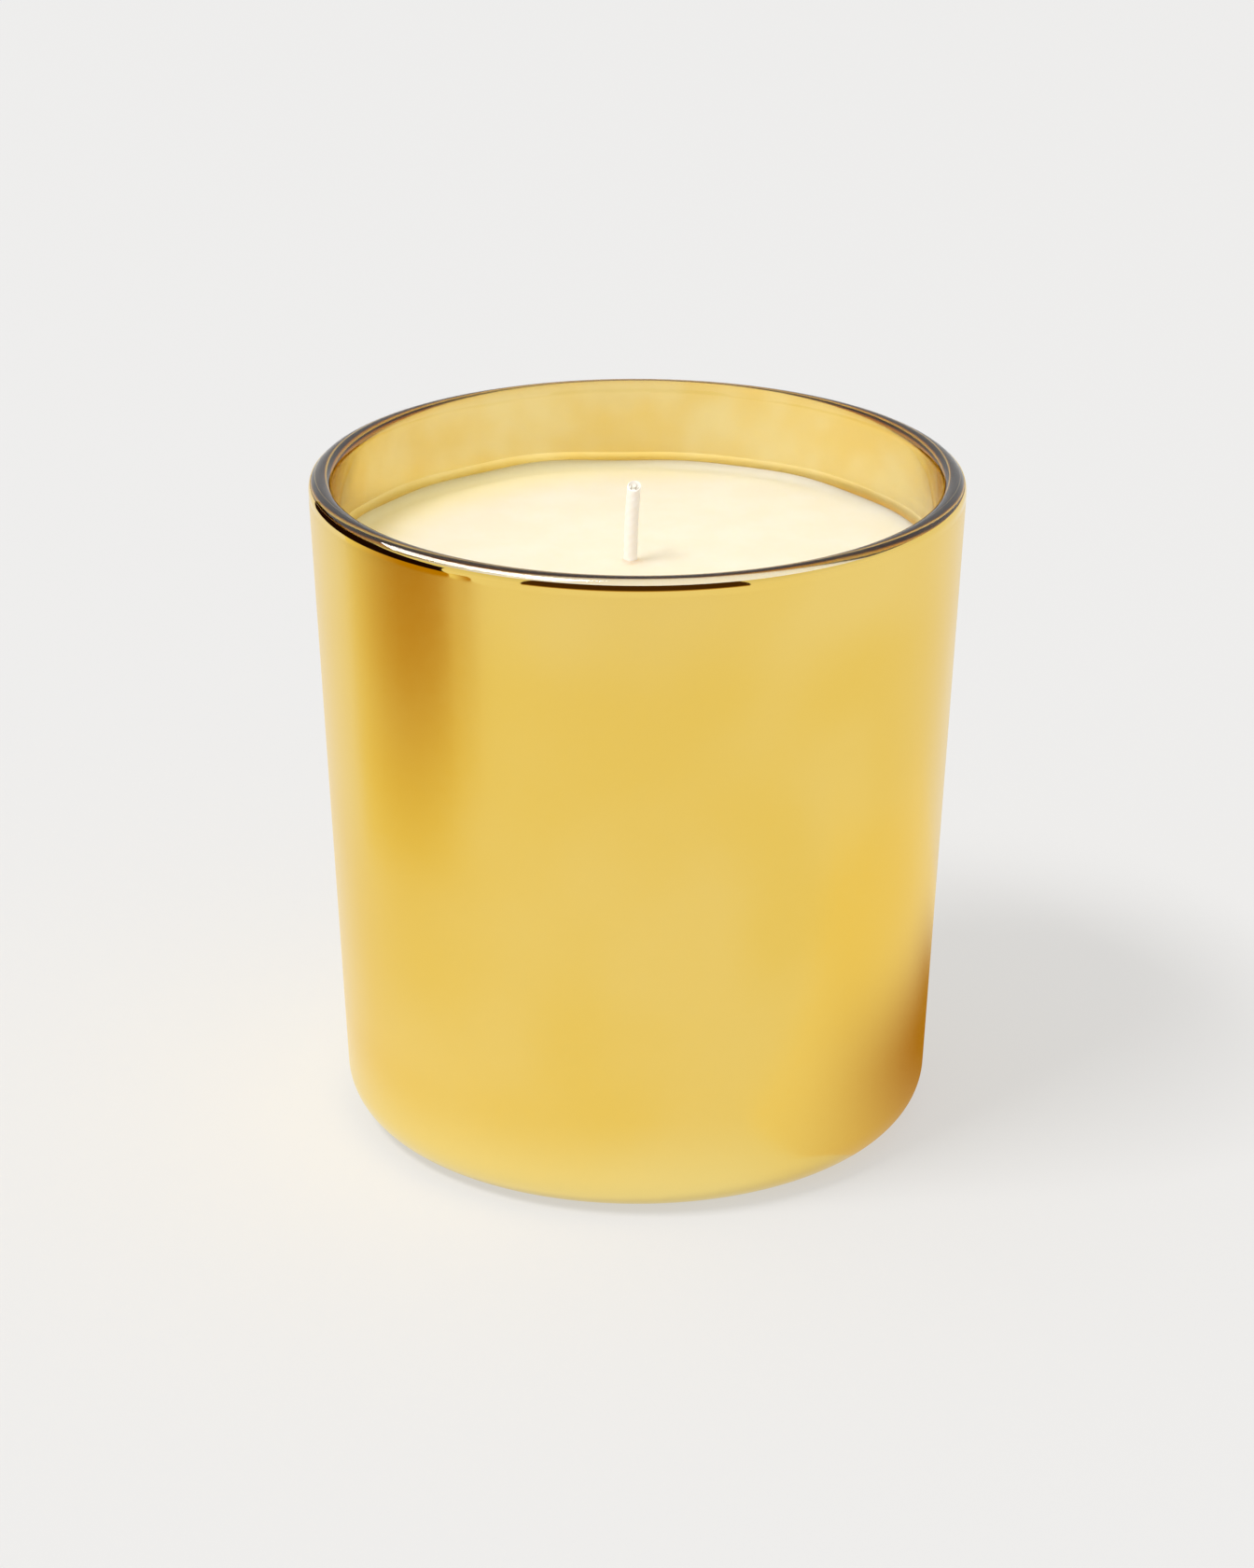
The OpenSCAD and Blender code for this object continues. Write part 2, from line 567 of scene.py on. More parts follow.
@dataclass(frozen=True)
class MirrorGold:
    """Inside of the metallised coat, bright where it lies on the glass.

    Attributes:
        pale: Colour of the paler clouds.
        deep: Colour of the deeper clouds.
        cloud: Size of a cloud.
        roughness: Roughness where the gold is deep.
        ripple: Size of the unevenness that it takes from the glass.
        ripple_depth: Depth of that unevenness.
    """

    pale: Colour = (0.84, 0.72, 0.36)
    deep: Colour = (0.80, 0.62, 0.21)
    cloud: float = 11.0
    roughness: float = 0.06
    ripple: float = 5.0
    ripple_depth: float = 0.014

    def material(self) -> bpy.types.Material:
        """Makes the material.

        Returns:
            The material.
        """
        shader = Shader("mirror_gold")
        cloud = shader.noise(self.cloud, 2.0).stepped(0.3, 0.7)
        ripple = shader.noise(self.ripple, 1.0, (1.0, 1.0, 0.5))
        return shader.finished({
            "Base Color": shader.mix(cloud, self.deep, self.pale),
            "Metallic": 1.0,
            "Roughness": self.roughness + 0.05 * cloud,
            "Normal": shader.bump(ripple, self.ripple_depth),
        })


@dataclass(frozen=True)
class CandleWax:
    """Poured cream wax, which light enters a little way, with faint frosting and pits.

    The wax's colour and glow hold painted light: a painted gold light of the gold wall near the glass, most
    at the back left, a painted amber glow on the side just under the top, and a painted glow in the middle.
    Further down the side is painted shade.

    Attributes:
        cream: Main colour.
        frost: Colour of the frosted patches.
        painted_gold_light: Colour of the painted warm light of the gold wall, near the glass.
        painted_shade: Colour of the painted shade on the side further down.
        glow: Painted light that the wax gives in the middle, standing for light that passes through it.
        warm_glow: Painted warm light that it gives near the glass.
        side_glow: Painted amber light that it gives on the side just under the top.
        cloud: Size of a frosted patch.
        pit: Size of the fine unevenness.
        depth: Distance that light travels in the wax.
        painted_gold_light_centre: Point that the painted gold light is measured from.
        painted_gold_light_reach: Distances from it between which the painted gold light grows.
        side_rise: Heights between which the side turns into the top.
        painted_shade_rise: Heights between which the painted shade on the side ends.
    """

    cream: Colour = (0.735, 0.680, 0.530)
    frost: Colour = (0.750, 0.705, 0.575)
    painted_gold_light: Colour = (0.70, 0.57, 0.27)
    painted_shade: Colour = (0.20, 0.075, 0.02)
    glow: Colour = (0.16, 0.12, 0.06)
    warm_glow: Colour = (0.31, 0.25, 0.09)
    side_glow: Colour = (0.38, 0.205, 0.025)
    cloud: float = 8.0
    pit: float = 0.7
    depth: float = 8.0
    painted_gold_light_centre: Point = (7.0, -5.0, 0.0)
    painted_gold_light_reach: Span = (36.0, 52.0)
    side_rise: Span = (78.6, 79.6)
    painted_shade_rise: Span = (76.4, 78.6)

    def material(self) -> bpy.types.Material:
        """Makes the material.

        Returns:
            The material.
        """
        shader = Shader("candle_wax")
        cloud = shader.noise(self.cloud, 4.0)
        pit = shader.noise(self.pit, 3.0)
        cream = shader.mix(cloud.stepped(0.35, 0.7), self.cream, self.frost)
        # Painted gold light: the warm light of the gold wall, put into the colour and the glow near the
        # glass.
        painted_gold_light = shader.away(self.painted_gold_light_centre).stepped(*self.painted_gold_light_reach)
        side = 1 - shader.along("Z").stepped(*self.side_rise)
        # Painted shade on the side further down, which also holds back the glow there.
        painted_shade = 1 - shader.along("Z").stepped(*self.painted_shade_rise)
        skin = shader.mix(painted_gold_light, cream, self.painted_gold_light)
        # Painted glow: light in the middle, warmer near the glass and amber on the side under the top.
        glow = shader.mix(side, shader.mix(painted_gold_light, self.glow, self.warm_glow), self.side_glow)
        return shader.finished({
            "Base Color": shader.mix(painted_shade, skin, self.painted_shade),
            "Roughness": 0.42 + 0.14 * pit,
            "Subsurface Weight": 1.0,
            "Subsurface Radius": (1.0, 0.90, 0.72),
            "Subsurface Scale": self.depth * MM,
            "Specular IOR Level": 0.30,
            "Emission Color": shader.mix(painted_shade, glow, BLACK),
            "Emission Strength": 1.0,
            "Normal": shader.bump(0.7 * cloud + 0.3 * pit, 0.05),
        })


@dataclass(frozen=True)
class PrimingWax:
    """Hard translucent wax round the wick, a little cloudy.

    Attributes:
        cream: Main colour.
        frost: Colour of the cloudy patches.
        glow: Light that it gives, which stands for the light that passes through it.
        depth: Distance that light travels in it.
    """

    cream: Colour = (0.93, 0.87, 0.79)
    frost: Colour = (0.95, 0.91, 0.85)
    glow: Colour = (0.15, 0.125, 0.11)
    depth: float = 0.4

    def material(self) -> bpy.types.Material:
        """Makes the material.

        Returns:
            The material.
        """
        shader = Shader("priming_wax")
        cloud = shader.noise(1.5, 3.0)
        grain = shader.noise(0.25, 3.0)
        return shader.finished({
            "Base Color": shader.mix(cloud.stepped(0.35, 0.7), self.cream, self.frost),
            "Roughness": 0.38 + 0.16 * grain,
            "Subsurface Weight": 0.3,
            "Subsurface Radius": (1.0, 0.85, 0.65),
            "Subsurface Scale": self.depth * MM,
            "Specular IOR Level": 0.4,
            "Emission Color": self.glow,
            "Emission Strength": 1.0,
            "Normal": shader.bump(0.6 * cloud + 0.4 * grain, 0.02),
        })


@dataclass(frozen=True)
class Yarn:
    """Cotton or paper yarn with fine fibres along the wick.

    Attributes:
        name: Name of the material.
        light: Colour of the fibres' tops.
        dark: Colour between the fibres.
        fibre: Width of a fibre.
    """

    name: str
    light: Colour
    dark: Colour
    fibre: float = 0.09

    def material(self) -> bpy.types.Material:
        """Makes the material.

        Returns:
            The material.
        """
        shader = Shader(self.name)
        fibre = shader.noise(self.fibre, 3.0, (1.0, 1.0, 0.12))
        return shader.finished({
            "Base Color": shader.mix(fibre, self.dark, self.light),
            "Roughness": 0.75 + 0.15 * fibre,
            "Subsurface Weight": 0.2,
            "Subsurface Radius": (0.5, 0.45, 0.4),
            "Subsurface Scale": 0.4 * MM,
            "Normal": shader.bump(fibre, 0.03),
        })


@dataclass(frozen=True)
class TinnedSteel:
    """Bright tinned sheet, rolled along X, with dull bloom in patches.

    Attributes:
        bright: Colour of the clean tin.
        dull: Colour of the bloom.
    """

    bright: Colour = (0.74, 0.75, 0.76)
    dull: Colour = (0.56, 0.57, 0.58)

    def material(self) -> bpy.types.Material:
        """Makes the material.

        Returns:
            The material.
        """
        shader = Shader("tinned_steel")
        bloom = shader.noise(2.2, 4.0)
        rolling = shader.noise(0.12, 2.0, (0.08, 1.0, 1.0))
        return shader.finished({
            "Base Color": shader.mix(bloom.stepped(0.4, 0.7), self.bright, self.dull),
            "Metallic": 1.0,
            "Roughness": 0.22 + 0.2 * bloom + 0.1 * rolling,
            "Normal": shader.bump(rolling, 0.004),
        })


@dataclass(frozen=True)
class FoamSticker:
    """Closed-cell foam with small cells.

    Attributes:
        skin: Colour between the cells.
        cell: Colour of a cell.
    """

    skin: Colour = (0.86, 0.86, 0.84)
    cell: Colour = (0.70, 0.70, 0.67)

    def material(self) -> bpy.types.Material:
        """Makes the material.

        Returns:
            The material.
        """
        shader = Shader("sticker_foam")
        cells = shader.specks(0.28, 0.2)
        return shader.finished({
            "Base Color": shader.mix(cells, self.skin, self.cell),
            "Roughness": 0.8 + 0.1 * cells,
            "Normal": shader.bump(1 - cells, 0.06),
        })


@dataclass(frozen=True)
class LabelPaper:
    """Blank uncoated paper with loose fibres.

    Attributes:
        paper: Main colour.
        fibre: Colour of the fibres.
    """

    paper: Colour = (0.88, 0.87, 0.83)
    fibre: Colour = (0.78, 0.76, 0.70)

    def material(self) -> bpy.types.Material:
        """Makes the material.

        Returns:
            The material.
        """
        shader = Shader("label_paper")
        pulp = shader.noise(0.5, 5.0)
        strands = shader.noise(0.25, 3.0, (0.25, 1.0, 1.0))
        felt = 0.5 * pulp + 0.5 * strands
        return shader.finished({
            "Base Color": shader.mix(felt.stepped(0.45, 0.75), self.paper, self.fibre),
            "Roughness": 0.82 + 0.1 * pulp,
            "Normal": shader.bump(felt, 0.02),
        })


# ---------------------------------------------------------------- tumbler


@dataclass(frozen=True)
class TumblerShape:
    """Turned outline of the tumbler as (radius, height) pairs.

    Attributes:
        height: Height from the standing ring to the top of the lip.
        rim_d: Outside diameter at the lip.
        foot_d: Outside diameter just above the base radius.
        base_r: Outside radius between the base and the wall.
        lip_t: Thickness of the rounded lip.
        foot_wall_t: Thickness of the wall at its foot.
        floor_t: Thickness of the floor.
        cavity_r: Inside radius between the floor and the wall.
        hollow_d: Diameter of the hollow under the base.
        hollow_h: Depth of that hollow.
        edge_turn: Turn of each of the two arcs at the hollow's edge, in degrees.
    """

    height: float
    rim_d: float
    foot_d: float = 81.0
    base_r: float = 6.6
    lip_t: float = 3.2
    foot_wall_t: float = 3.8
    floor_t: float = 9.0
    cavity_r: float = 9.0
    hollow_d: float = 61.0
    hollow_h: float = 1.4
    edge_turn: float = 60.0

    @property
    def lip_r(self) -> float:
        """Radius of the rounded lip."""
        return self.lip_t / 2

    @property
    def lip_centre(self) -> Array:
        """Centre of the rounded lip."""
        return np.array([self.rim_d / 2 - self.lip_r, self.height - self.lip_r])

    @property
    def base_centre(self) -> Array:
        """Centre of the outside base radius."""
        return np.array([self.foot_d / 2 - self.base_r, self.base_r])

    @property
    def cavity_centre(self) -> Array:
        """Centre of the inside radius at the floor."""
        return np.array([self.foot_d / 2 - self.foot_wall_t - self.cavity_r, self.floor_t + self.cavity_r])

    @staticmethod
    def _lean(low: Array, high: Array, across: float) -> float:
        """Lean of the touching line, in degrees: that of way, less the arcsine of across over its length."""
        way = high - low
        return math.degrees(math.atan2(way[0], way[1]) - math.asin(across / math.hypot(*way)))

    @property
    def outer_lean(self) -> float:
        """Lean of the outside wall, in degrees."""
        return self._lean(self.base_centre, self.lip_centre, self.base_r - self.lip_r)

    @property
    def inner_lean(self) -> float:
        """Lean of the inside wall, in degrees."""
        return self._lean(self.cavity_centre, self.lip_centre, self.cavity_r + self.lip_r)

    def bore(self, height: Array) -> Array:
        """Radius of the straight inside wall, which grows with height by the tangent of its lean.

        Args:
            height: Height above the standing ring.

        Returns:
            The radius.
        """
        lean = math.radians(self.inner_lean)
        rise = height - self.cavity_centre[1] + self.cavity_r * math.sin(lean)
        return self.cavity_centre[0] + self.cavity_r * math.cos(lean) + rise * math.tan(lean)

    def hollow(self, proud: float, turn: float) -> Array:
        """Underside of the hollow from the axis outwards, proud of the glass by a distance.

        Formula: a level line, then two arcs of one radius that turn down and back by the same angle. The
        radius is the hollow's depth over twice one less the cosine of that angle.

        Args:
            proud: Distance outside the glass.
            turn: Turn round the edge's lower arc at which the line ends, in degrees.

        Returns:
            The outline's points.
        """
        edge_r = self.hollow_h / (2 * (1 - math.cos(math.radians(self.edge_turn))))
        top_x = self.hollow_d / 2 - 2 * edge_r * math.sin(math.radians(self.edge_turn))
        top = np.array([top_x, self.hollow_h - edge_r])
        foot = np.array([self.hollow_d / 2, edge_r])
        start = np.array([0.0, self.hollow_h - proud])
        upper = arc(top, edge_r - proud, 90, 90 - self.edge_turn, 10)
        lower = arc(foot, edge_r + proud, 270 - self.edge_turn, 270 - self.edge_turn + turn, 10)
        return np.vstack([start, between(start, upper[0], 12), upper, lower[1:]])

    def wall(self, proud: float, start: float, stop: float) -> Array:
        """Outside from one angle round the base radius to another round the lip, proud of the glass.

        Formula: an arc round the base radius, the straight line that touches both circles, and an arc
        round the lip, where standing proud adds to both radii.

        Args:
            proud: Distance outside the glass.
            start: Angle round the base radius where the line starts, in degrees.
            stop: Angle round the lip where it ends, in degrees.

        Returns:
            The outline's points.
        """
        lean = self.outer_lean
        base = arc(self.base_centre, self.base_r + proud, start, -lean, 28)
        lip = arc(self.lip_centre, self.lip_r + proud, -lean, stop, max(8, int(stop + lean) // 3))
        return np.vstack([base, between(base[-1], lip[0], 40), lip])

    def cavity(self) -> Array:
        """Inside from the axis out along the floor to the foot of the inside wall.

        Formula: a level line, then an arc of the inside radius up to where the straight wall touches it.

        Returns:
            The outline's points.
        """
        bend = arc(self.cavity_centre, self.cavity_r, -90, -self.inner_lean, 20)
        start = np.array([0.0, self.floor_t])
        return np.vstack([start, between(start, bend[0], 16), bend])


@dataclass(frozen=True)
class GlassTumbler:
    """The thick-bottomed glass, whose inside wall is a little uneven from the mould.

    Attributes:
        shape: Its outline.
        ripple: Usual distance that the inside wall stands out of round.
        ripple_foot: Height at which the unevenness starts.
    """

    shape: TumblerShape
    ripple: float = 0.02
    ripple_foot: float = 20.0

    def unevenness(self, height: Array) -> Array:
        """Distance that the inside wall stands out of round, by row and column.

        Formula: sines of 3, 5 and 11 times the angle, whose phases drift with the height, faded in
        above the foot of the wall.

        Args:
            height: Height by row, or by row and column.

        Returns:
            The distance, by row and column.
        """
        angle = column_angles(AROUND)
        wave = np.sin(3 * angle + 0.05 * height) + 0.6 * np.sin(5 * angle + 1.3 - 0.08 * height)
        wave = wave + 0.35 * np.sin(11 * angle + 0.7 + 0.21 * height)
        return self.ripple * wave * ease((height - self.ripple_foot) / 10)

    def build(self) -> bpy.types.Object:
        """Builds the glass as one closed turned surface from the hollow round to the floor.

        Formula: the outline turned about the axis, where the inside wall's radius takes its unevenness,
        which fades out over the last 3 mm below the top of the lip.

        Returns:
            The glass.
        """
        shape = self.shape
        wall = shape.wall(0, -90, 180 - shape.inner_lean)
        outside = np.vstack([shape.hollow(0, shape.edge_turn), wall[1:]])
        cavity = shape.cavity()[::-1]
        inside = np.vstack([between(outside[-1], cavity[0], 80), cavity])
        profile = np.vstack([outside, inside])
        radius, height = profile[:, 0:1], profile[:, 1:2]
        is_inside = (np.arange(len(profile)) >= len(outside))[:, None]
        fade = is_inside * ease((shape.height - height) / 3)
        radius = radius + self.unevenness(height) * fade
        points = turned(radius, height, np.zeros(2))
        return make_piece("tumbler_glass", [Surface(points, Ends.POLES)], [ClearGlass().material()])


@dataclass(frozen=True)
class GoldCoat:
    """The metallised coat: a shell round the wall and base radius, and one in the hollow.

    Attributes:
        shape: The tumbler's outline.
        thickness: Distance that the coat stands out of the glass.
        bite: Distance that it reaches into the glass, so that the two touch everywhere.
        stop: Angle above the lip's widest point at which it ends, in degrees.
        clear: Height of its lowest edge above the standing ring.
        hollow_turn: Turn round the hollow's edge at which the inner shell ends, in degrees.
    """

    shape: TumblerShape
    thickness: float = 0.06
    bite: float = 0.03
    stop: float = 30.0
    clear: float = 0.05
    hollow_turn: float = 25.0

    def _wall_shell(self) -> Surface:
        """The shell round the wall, satin outside and bright inside.

        Formula: the wall's outline proud by the thickness, then back along the one that bites into the
        glass. Both start at the angle whose sine brings the outer one to the lowest edge's height.

        Returns:
            The shell's surface.
        """
        base_r = self.shape.base_r
        start = -math.degrees(math.asin((base_r - self.clear) / (base_r + self.thickness)))
        outer = self.shape.wall(self.thickness, start, self.stop)
        inner = self.shape.wall(-self.bite, start, self.stop)[::-1]
        profile = np.vstack([outer, inner])
        finishes = np.zeros(len(profile), int)
        finishes[len(outer):-1] = 1
        points = turned(profile[:, 0:1], profile[:, 1:2], np.zeros(2))
        return Surface(points, Ends.LOOP, finishes)

    def _hollow_shell(self) -> Surface:
        """The shell in the hollow under the base.

        Formula: the hollow's outline proud by the thickness, then back along the one that bites into the
        glass.

        Returns:
            The shell's surface.
        """
        under = self.shape.hollow(self.thickness, self.hollow_turn)
        over = self.shape.hollow(-self.bite, self.hollow_turn)[::-1]
        profile = np.vstack([under, over])
        return Surface(turned(profile[:, 0:1], profile[:, 1:2], np.zeros(2)), Ends.POLES)

    def build(self) -> bpy.types.Object:
        """Builds both shells as one piece."""
        finishes = [SatinGold().material(), MirrorGold().material()]
        return make_piece("satin_gold_coat", [self._wall_shell(), self._hollow_shell()], finishes)


# ---------------------------------------------------------------- wick


@dataclass(frozen=True)
class WickLine:
    """Line of the wick: straight up through the wax, then bent towards +X and snipped at an angle.

    Attributes:
        x: Place of the wick's foot along X.
        y: Place of the wick's foot along Y.
        foot: Height of the foot.
        bend_z: Height at which the bend starts.
        bend_r: Radius of the bend.
        out: Length of wick above the flat of the wax.
        collar_h: Height that the wax climbs the wick, below which it stays straight.
        snip_angle: Angle of the cut, whose face looks towards -Y and up, in degrees.
        slant_over: Length over which the layers take on the cut's slant.
    """

    x: float
    y: float
    foot: float
    bend_z: float
    bend_r: float = 115.0
    out: float = 10.8
    collar_h: float = 0.4
    snip_angle: float = 26.0
    slant_over: float = 3.0

    @property
    def end(self) -> float:
        """Length along the wick, counted as height where it is straight, at the middle of the cut."""
        return self.bend_z + self.out - self.collar_h

    def bent(self, across: Array, aside: Array, along: Array) -> Array:
        """Carries points from a straight wick onto the bent one, and slants them towards the cut.

        Formula: each point is the line's point at its length, plus its offsets times the line's two
        side directions. Near the end its length grows so that the end's points all lie on the cut.

        Args:
            across: Offset towards +X.
            aside: Offset towards +Y.
            along: Length along the line.

        Returns:
            The points, with one more axis of three.
        """
        end_turn = (self.end - self.bend_z) / self.bend_r
        cut = math.radians(self.snip_angle)
        lean_x = -math.sin(end_turn) * math.cos(cut)
        lean_y = -math.sin(cut)
        facing = math.cos(end_turn) * math.cos(cut)
        slant = -(across * lean_x + aside * lean_y) / facing
        along = along + slant * ease((along - self.end + self.slant_over) / self.slant_over)
        turn = np.clip(along - self.bend_z, 0, None) / self.bend_r
        x = self.x + self.bend_r * (1 - np.cos(turn)) + across * np.cos(turn)
        z = np.minimum(along, self.bend_z) + self.bend_r * np.sin(turn) - across * np.sin(turn)
        return np.stack(np.broadcast_arrays(x, self.y + aside, z), axis=-1)

    def tube(self, radius: Array, along: Array, columns: int) -> Array:
        """Points of a round layer: its radius times (cosine, sine) of the angle, carried onto the line."""
        angle = column_angles(columns)
        return self.bent(radius * np.cos(angle), radius * np.sin(angle), along + 0 * angle)


@dataclass(frozen=True)
class Wick:
    """A primed wick of a twisted paper core in a cotton braid.

    Attributes:
        line: The wick's line.
        neck_top: Height of the sustainer's neck, above which the wick is primed.
        wick_d: Diameter over the priming wax.
        braid_d: Diameter of the braid.
        core_d: Diameter of the core.
        carriers: Yarns that run each way round the braid. The number is even.
        lay: Length in which a yarn goes once round.
        relief: Depth of the braid's pattern in the priming wax.
    """

    line: WickLine
    neck_top: float
    wick_d: float = 1.9
    braid_d: float = 1.6
    core_d: float = 0.6
    carriers: int = 4
    lay: float = 5.0
    relief: float = 0.05

    def _braid_pattern(self, angle: Array, along: Array) -> Array:
        """Share from 0 to 1 by which the braid swells under the priming wax.

        Formula: a wave along each of the two lays, where the yarns of one lay swell as the yarns of
        the other dip.

        Args:
            angle: Angle round the wick.
            along: Length along the wick.

        Returns:
            The share.
        """
        turn = 2 * math.pi * along / self.lay
        count = self.carriers
        over = 0.5 + 0.5 * np.cos(count * turn)
        one = 0.5 + 0.5 * np.cos(count * (angle - turn))
        other = 0.5 + 0.5 * np.cos(count * (angle + turn))
        return over * one + (1 - over) * other

    def priming(self) -> bpy.types.Object:
        """Builds the sleeve of priming wax, with a rounded edge at the cut.

        Formula: the outside is the sleeve's radius less the relief where the braid doesn't swell, with a
        quarter round at the cut, and the inside goes back down at the braid's radius.

        Returns:
            The sleeve.
        """
        columns, round_off = 48, 0.12
        end = self.line.end
        steps = int((end - self.neck_top) / 0.16)
        along = np.linspace(self.neck_top, end - round_off, steps)
        outer_r = self.wick_d / 2
        sweep = np.radians(np.linspace(0, 90, 6)[1:])
        edge_along = end - round_off * (1 - np.sin(sweep))
        edge_inset = round_off * (1 - np.cos(sweep))
        inner_r = self.braid_d / 2
        all_along = np.concatenate([along, edge_along, [end - 0.02], along[::-8]])
        inset = np.concatenate([0 * along, edge_inset])
        angle = column_angles(columns)
        outer_along = all_along[: len(inset), None]
        swell = self._braid_pattern(angle, outer_along)
        outer = outer_r - self.relief * (1 - swell) - inset[:, None]
        inner = np.full((len(all_along) - len(inset), columns), inner_r)
        points = self.line.tube(np.vstack([outer, inner]), all_along[:, None], columns)
        return make_piece("wick_priming_sleeve", [Surface(points, Ends.LOOP)], [PrimingWax().material()])

    def _yarn(self, number: int, way: int) -> Surface:
        """One yarn of the braid, wound one way round.

        Formula: the yarn's middle goes round the core at a radius that waves in and out as it passes
        over and under the yarns of the other way. Its section is an ellipse across its own direction.

        Args:
            number: Which yarn of those that go this way.
            way: 1 for counterclockwise and -1 for clockwise, seen from above.

        Returns:
            The yarn's surface.
        """
        columns, width, thickness = 10, 0.5, 0.23
        low, high = self.core_d / 2 + thickness / 2, self.braid_d / 2 - thickness / 2
        line = self.line
        steps = int((line.end - line.foot) / 0.3)
        along = np.linspace(line.foot, line.end, steps)[:, None]
        turn = 2 * math.pi * along / self.lay
        angle = way * turn + 2 * math.pi * number / self.carriers
        reach = (low + high) / 2 + (high - low) / 2 * way * np.cos(self.carriers * turn)
        slope = way * 2 * math.pi * reach / self.lay
        length = np.hypot(1, slope)
        section = column_angles(columns)
        size = np.ones((steps, 1))
        size[0] = size[-1] = 0.0
        out = size * thickness / 2 * np.cos(section)
        over = size * width / 2 * np.sin(section)
        radial = reach + out
        across = radial * np.cos(angle) - over / length * np.sin(angle)
        aside = radial * np.sin(angle) + over / length * np.cos(angle)
        axial = along - over * slope / length
        axial = np.minimum(axial, line.end)
        axial[1:-1] = np.clip(axial[1:-1], line.foot, line.end)
        return Surface(line.bent(across, aside, axial), Ends.POLES)

    def braid(self) -> bpy.types.Object:
        """Builds the cotton braid from its yarns.

        Returns:
            The braid.
        """
        yarns = [self._yarn(number, way) for way in (1, -1) for number in range(self.carriers)]
        material = Yarn("wick_cotton", (0.93, 0.90, 0.83), (0.80, 0.76, 0.66)).material()
        return make_piece("wick_cotton_braid", yarns, [material], 60)

    def core(self) -> bpy.types.Object:
        """Builds the twisted paper core, whose two grooves wind round it.

        Formula: the radius dips with the root of the cosine of the angle less the twist's turn.

        Returns:
            The core.
        """
        columns = 24
        line = self.line
        steps = int((line.end - line.foot) / 0.25)
        along = np.linspace(line.foot, line.end, steps)
        along = np.concatenate([[line.foot], along, [line.end]])[:, None]
        angle = column_angles(columns)
        groove = np.abs(np.cos(angle - 2 * math.pi * along / 3.2)) ** 0.5
        radius = self.core_d / 2 * (0.86 + 0.14 * groove)
        radius[0] = radius[-1] = 0.0
        points = line.tube(radius, along, columns)
        material = Yarn("wick_paper", (0.90, 0.86, 0.76), (0.76, 0.70, 0.58), 0.14).material()
        return make_piece("wick_paper_core", [Surface(points, Ends.POLES)], [material])


# ---------------------------------------------------------------- wax


